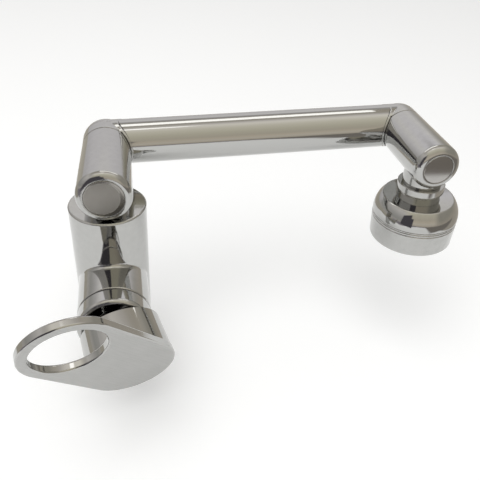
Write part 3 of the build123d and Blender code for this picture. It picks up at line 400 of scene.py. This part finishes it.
# Alumina, lapped flat: ivory, dense and nearly glossy, with a grain of under 0.1 mm drawn at 0.4
ceramic, tree = new_material("lapped_alumina")
place = add(tree, "ShaderNodeTexCoord").outputs["Object"]
grain = add(tree, "ShaderNodeTexVoronoi", {"Vector": place, "Scale": 2500.0})
ivory = add(tree, "ShaderNodeValToRGB", {"Fac": grain}, stops=((0.0, "#e9e4d8"), (1.0, "#f2eee4")))
lapped = add(tree, "ShaderNodeMapRange", {"Value": grain, "To Min": 0.12, "To Max": 0.22})
alumina = add(tree, "ShaderNodeBsdfPrincipled", {"Base Color": ivory, "Roughness": lapped, "IOR": 1.76})
add(tree, "ShaderNodeOutputMaterial", {"Surface": alumina})
wear(ceramic, "fixed_disc", "moving_disc")
wear(turned_metal("turned_stainless", "#adadab", "Y", 0.8, 0.24), "stem", "stem_pin")
brass_on_branch = turned_metal("turned_brass", "#c8a661", "Y", 0.9, 0.26)
wear(brass_on_branch, "cartridge_nut")


# Cover collar. A short chromed brass sleeve, turned and polished, that pushes over the cartridge
# nut. A dark seam ring keeps it off the branch.
turned_chrome = chrome_plate("turned_chrome", chrome_tone, 14.0, 0.03, 0.05)
wear(turned_chrome, "cover_collar")


# Lever. Zinc alloy, die-cast in one with its hood and finger ring, polished and chromed, then
# linished on its flat front face. A grub screw under a black plug holds it on the stem.
lever_axis = Vector((0.2221, -0.9323, -0.2853))
lever_along = Vector((-0.5727, -0.3616, 0.7357))
lever_across = Vector((0.7891, 0.0, 0.6143))
lever_pivot = Vector((0.0, -0.042, 0.074))
face_height = 0.0425
# Satin chrome: the belt's lines are 0.1 mm apart, drawn at 0.8 mm, and run along the lever for
# 20 mm each; they spread the mirror into an even pale grey that stops at the polished edges
satin_face, tree = new_material("linished_chrome")
place = add(tree, "ShaderNodeTexCoord").outputs["Object"]
height = add(tree, "ShaderNodeVectorMath", {0: place, 1: lever_axis}, operation="DOT_PRODUCT")
height = height.outputs["Value"]
face = add(tree, "ShaderNodeMapRange", {
    "Value": height, "From Min": face_height - 0.0002 + lever_pivot.dot(lever_axis),
    "From Max": face_height - 0.00005 + lever_pivot.dot(lever_axis),
})
line_length = 20.0
line_pitch = 0.8
along = add(tree, "ShaderNodeVectorMath", {0: place, 1: lever_along * (1000.0 / line_length)},
            operation="DOT_PRODUCT").outputs["Value"]
across = add(tree, "ShaderNodeVectorMath", {0: place, 1: lever_across * (1000.0 / line_pitch)},
             operation="DOT_PRODUCT").outputs["Value"]
belt = add(tree, "ShaderNodeCombineXYZ", {"X": along, "Y": across})
lines = add(tree, "ShaderNodeTexNoise", {"Vector": belt, "Scale": 1.0, "Detail": 3.0, "Roughness": 0.7})
clouds = add(tree, "ShaderNodeTexNoise", {"Vector": place, "Scale": 90.0, "Detail": 3.0})
waves = add(tree, "ShaderNodeTexNoise", {"Vector": place, "Scale": 70.0, "Detail": 1.0})
# The wheel has taken most of the casting's draft, a slope of 7 in 100, off the hood's side,
# which turns what it mirrors
draft_taken = 0.07
undrafted = add(tree, "ShaderNodeBump", {"Height": height, "Strength": 1.0, "Distance": -draft_taken})
smooth_bump = add(tree, "ShaderNodeBump", {
    "Height": waves, "Strength": 1.0, "Distance": 0.00005, "Normal": undrafted,
})
deep = add(tree, "ShaderNodeMath", {0: face, 1: 0.35}, operation="MULTIPLY")
grained = add(tree, "ShaderNodeBump", {
    "Height": lines, "Strength": deep, "Distance": 0.00002, "Normal": smooth_bump,
})
satin = add(tree, "ShaderNodeMapRange", {"Value": clouds, "From Min": 0.3, "From Max": 0.7,
                                         "To Min": 0.30, "To Max": 0.38})
roughness = add(tree, "ShaderNodeMix", {0: face, 2: 0.07, 3: satin}, data_type="FLOAT")
streak = add(tree, "ShaderNodeMapRange", {"Value": lines, "From Min": 0.3, "From Max": 0.7,
                                          "To Min": 0.88, "To Max": 1.0})
tone = add(tree, "ShaderNodeMix", {0: face, 2: 1.0, 3: streak}, data_type="FLOAT")
bright = add(tree, "ShaderNodeVectorMath", {0: to_linear(chrome_tone)[:3], "Scale": tone},
             operation="SCALE")
metal = add(tree, "ShaderNodeBsdfPrincipled", {
    "Base Color": bright, "Metallic": 1.0, "Roughness": roughness, "Normal": grained,
})
add(tree, "ShaderNodeOutputMaterial", {"Surface": metal})
wear(satin_face, "lever")
black_acetal = moulded_plastic("black_acetal", "#1d1d1e", 0.45)
wear(turned_metal("screw_steel", "#8f8f8d", "X", 0.6, 0.30), "grub_screw", "spout_set_screw")
wear(black_acetal, "screw_plug")


# Spout swivel. A turned brass pivot tube, screwed into the spout's knuckle, turns in the column
# in a black acetal bush with two O-rings. A set screw in the column's back keeps it in.
brass_upright = turned_metal("turned_brass_upright", "#c8a661", "Z", 0.9, 0.26)
wear(brass_upright, "pivot_tube")
wear(black_acetal, "spout_bush")


# Folding joints. Each is a chromed brass barrel and elbow round a brass spindle, with a black
# acetal bush, O-rings, a spring washer and a nut that set how stiffly the arm folds.
barrel_chrome = chrome_plate("barrel_chrome", chrome_tone, 12.0, 0.04, 0.08)
wear(barrel_chrome, "left_knuckle", "right_knuckle", "left_elbow", "right_elbow")
wear(black_acetal, "left_bush", "right_bush")
wear(brass_on_branch, "left_spindle", "right_spindle", "left_nut", "right_nut")
wear(turned_metal("spring_steel", "#8b8a88", "Y", 0.7, 0.35), "left_washer", "right_washer")


# Elbow balls. The back of each elbow is a ball, cast hollow for the water with a wall of 2.5 mm,
# and polished and chromed with the elbow. It closes the elbow behind the joint.
ball_wall = 0.0025
joint_turn = radians(1.7)
joint_forward = Matrix.Rotation(-joint_turn, 3, "Z") @ Vector((0.0, -1.0, 0.0))
for name, centre, ball_radius in (
    ("left_elbow_ball", (0.001486, 0.050078, 0.1484), 0.0162),
    ("right_elbow_ball", (0.215427, 0.043728, 0.159055), 0.0158),
):
    bpy.ops.object.select_all(action="DESELECT")
    bpy.ops.mesh.primitive_uv_sphere_add(
        segments=96, ring_count=48, radius=ball_radius, location=(0.0, 0.0, 0.0),
    )
    ball = bpy.context.object
    ball.name = name
    ball.data.transform(Matrix.Rotation(radians(90), 4, "X"))
    ball.data.transform(Matrix.Rotation(-joint_turn, 4, "Z"))
    ball.data.transform(Matrix.Translation(centre))
    bpy.ops.object.mode_set(mode="EDIT")
    bpy.ops.mesh.select_all(action="SELECT")
    bpy.ops.mesh.bisect(plane_co=centre, plane_no=joint_forward, clear_outer=True)
    bpy.ops.object.mode_set(mode="OBJECT")
    wall = ball.modifiers.new("wall", "SOLIDIFY")
    wall.thickness = ball_wall
    wall.offset = -1.0
    bpy.ops.object.modifier_apply(modifier="wall")
    bpy.ops.object.shade_smooth_by_angle(angle=radians(30))
    ball.data.materials.append(barrel_chrome)
    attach(ball, "arm")


# End caps. Thin brass discs, slightly bowed, faced on a lathe and chromed, pressed into the
# barrels' noses, where they hide the nuts. The left one is satin inside a polished rim.
left_cap_at = Vector((-0.000739, -0.024889, 0.1484))
right_cap_at = Vector((0.213341, -0.026541, 0.159055))


# Faced chrome: rings 0.1 mm apart, drawn at 0.7 mm, round the cap's own centre on a face that is
# bowed from top to bottom. Inside the satin radius it is dull and even, outside it is a mirror
def faced_chrome(name, tone, centre, bow_radius, satin_radius, satin_at, dullness):
    material, tree = new_material(name)
    place = add(tree, "ShaderNodeTexCoord").outputs["Object"]
    from_centre = add(tree, "ShaderNodeVectorMath", {0: place, 1: centre}, operation="SUBTRACT")
    flat = add(tree, "ShaderNodeMapping", {
        "Vector": from_centre, "Rotation": (0.0, 0.0, joint_turn), "Scale": (1.0, 0.0, 1.0),
    }, vector_type="POINT")
    out = add(tree, "ShaderNodeVectorMath", {0: flat}, operation="LENGTH").outputs["Value"]
    rise = add(tree, "ShaderNodeSeparateXYZ", {"Vector": flat}).outputs["Z"]
    squared = add(tree, "ShaderNodeMath", {0: rise, 1: rise}, operation="MULTIPLY")
    sunk = add(tree, "ShaderNodeMath", {0: squared, 1: -0.5 / bow_radius}, operation="MULTIPLY")
    bowed = add(tree, "ShaderNodeBump", {"Height": sunk, "Strength": 1.0, "Distance": 1.0})
    wide = add(tree, "ShaderNodeMath", {0: out, 1: 1400.0}, operation="MULTIPLY")
    rings = add(tree, "ShaderNodeTexNoise", {"W": wide, "Scale": 1.0, "Detail": 2.0}, noise_dimensions="1D")
    cut = add(tree, "ShaderNodeBump", {
        "Height": rings, "Strength": 0.3, "Distance": 0.00002, "Normal": bowed,
    })
    clouds = add(tree, "ShaderNodeTexNoise", {"Vector": place, "Scale": 160.0, "Detail": 3.0})
    off_satin = add(tree, "ShaderNodeVectorMath", {0: flat, 1: satin_at}, operation="SUBTRACT")
    off_satin = add(tree, "ShaderNodeVectorMath", {0: off_satin}, operation="LENGTH").outputs["Value"]
    satin = add(tree, "ShaderNodeMapRange", {
        "Value": off_satin, "From Min": satin_radius + 0.0001, "From Max": satin_radius - 0.0002,
    })
    shade = add(tree, "ShaderNodeMix", {
        0: clouds, 6: [c * 1.05 for c in to_linear(tone)], 7: [c * 0.93 for c in to_linear(tone)],
    }, data_type="RGBA")
    spread = add(tree, "ShaderNodeMapRange", {
        "Value": clouds, "To Min": dullness * 0.85, "To Max": dullness * 1.15,
    })
    dull = add(tree, "ShaderNodeMix", {0: satin, 2: 0.12, 3: spread}, data_type="FLOAT")
    metal = add(tree, "ShaderNodeBsdfPrincipled", {
        "Base Color": shade.outputs[2], "Metallic": 1.0, "Roughness": dull, "Normal": cut,
    })
    add(tree, "ShaderNodeOutputMaterial", {"Surface": metal})
    return material


wear(faced_chrome("faced_chrome_left", "#9a9792", left_cap_at, bow_radius=0.16, satin_radius=0.0108,
                  satin_at=(-0.0012, 0.0, 0.0), dullness=0.36), "left_cap")
wear(faced_chrome("faced_chrome_right", "#b0aeab", right_cap_at, bow_radius=0.055, satin_radius=0.0130,
                  satin_at=(0.0, 0.0, 0.0), dullness=0.17), "right_cap")


# Arm. Drawn brass tube, saddle-cut and brazed to the elbows' lips, then polished lengthwise and
# chromed, so what it mirrors lies in straight bands along it.
# Drawn chrome: a mirror with faint lines along the tube, 0.3 mm wide and drawn at 0.6 mm
drawn, tree = new_material("drawn_chrome")
place = add(tree, "ShaderNodeTexCoord").outputs["Object"]
arm_slope = radians(2.85)
squeeze = add(tree, "ShaderNodeMapping", {
    "Vector": place, "Rotation": (0.0, arm_slope, joint_turn), "Scale": (12.0, 1600.0, 1600.0),
})
lines = add(tree, "ShaderNodeTexNoise", {"Vector": squeeze, "Scale": 1.0, "Detail": 2.0})
waves = add(tree, "ShaderNodeTexNoise", {"Vector": place, "Scale": 45.0, "Detail": 1.0})
bent = add(tree, "ShaderNodeBump", {"Height": waves, "Strength": 1.0, "Distance": 0.00005})
drawn_bump = add(tree, "ShaderNodeBump", {
    "Height": lines, "Strength": 0.10, "Distance": 0.00002, "Normal": bent,
})
dull = add(tree, "ShaderNodeMapRange", {"Value": lines, "From Min": 0.3, "From Max": 0.7,
                                        "To Min": 0.05, "To Max": 0.09})
metal = add(tree, "ShaderNodeBsdfPrincipled", {
    "Base Color": to_linear(chrome_tone), "Metallic": 1.0, "Roughness": dull, "Normal": drawn_bump,
})
add(tree, "ShaderNodeOutputMaterial", {"Surface": metal})
wear(drawn, "arm_tube")


# Spray head. A chromed brass collar and bell turn on a brass nipple, over a white core that
# carries the plate of spray nozzles and the aerator, both moulded in grey acetal.
wear(brass_upright, "head_nipple")
wear(turned_chrome, "swivel_collar", "bell")
wear(white_acetal, "head_core", "diverter_disc")
wear(moulded_plastic("grey_acetal", "#87898b", 0.40), "spray_plate", "aerator")


# Selector ring. A plain chromed ring under the bell, turned and left less polished than the
# rest, that a hand turns to change from spray to stream.
wear(chrome_plate("soft_chrome", chrome_tone, 9.0, 0.02, 0.16), "selector_ring")
